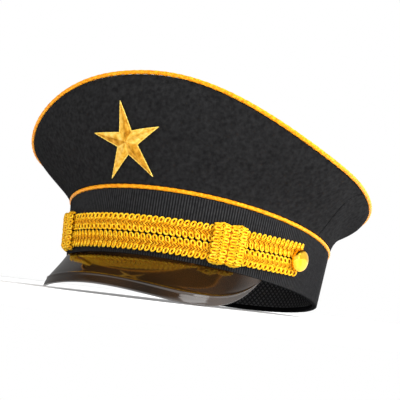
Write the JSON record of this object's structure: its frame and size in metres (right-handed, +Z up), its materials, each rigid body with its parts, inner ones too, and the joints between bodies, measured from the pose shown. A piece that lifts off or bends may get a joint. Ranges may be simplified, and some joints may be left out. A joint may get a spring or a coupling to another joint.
{
  "type": "captain hat",
  "caption": "Peaked captain hat: flared black crown swept up at the front, ribbed band, short glossy visor, gold piping, braid strap with slides and buttons, and a star.",
  "frame": {"origin": "middle of the hat's bounding box on the surface that it rests on", "axes": "+Z up, -Y towards the visor, +X towards the wearer's left; the hat is tipped back to rest on its visor's edge and the rear of its rim"},
  "size_m": [0.2362, 0.2504, 0.131],
  "materials": {
    "crown_cloth": "matt black felted cloth with a faint weave",
    "ribbed_band": "black grosgrain ribbon with fine upright ribs",
    "binding": "black woven binding",
    "mesh_lining": "black open mesh over a grey ground",
    "gold_piping": "orange gold satin cord",
    "gold_braid": "looped gimp braid of gold thread",
    "star_thread": "gold satin stitch",
    "gilt_button": "polished gilt",
    "visor_gloss": "glossy black sheet plastic"
  },
  "bodies": {
    "root": {"band": "ribbed_band", "rim_binding": "binding", "mesh_lining": "mesh_lining", "crown_front": "crown_cloth", "crown_rear": "crown_cloth", "crown_top": "crown_cloth", "band_piping": "gold_piping", "crown_piping": "gold_piping", "visor": "visor_gloss", "braid_lower": "gold_braid", "braid_upper": "gold_braid", "slide_left": "gold_braid", "slide_right": "gold_braid", "button_left": "gilt_button", "button_right": "gilt_button", "star": "star_thread"}
  },
  "joints": []
}
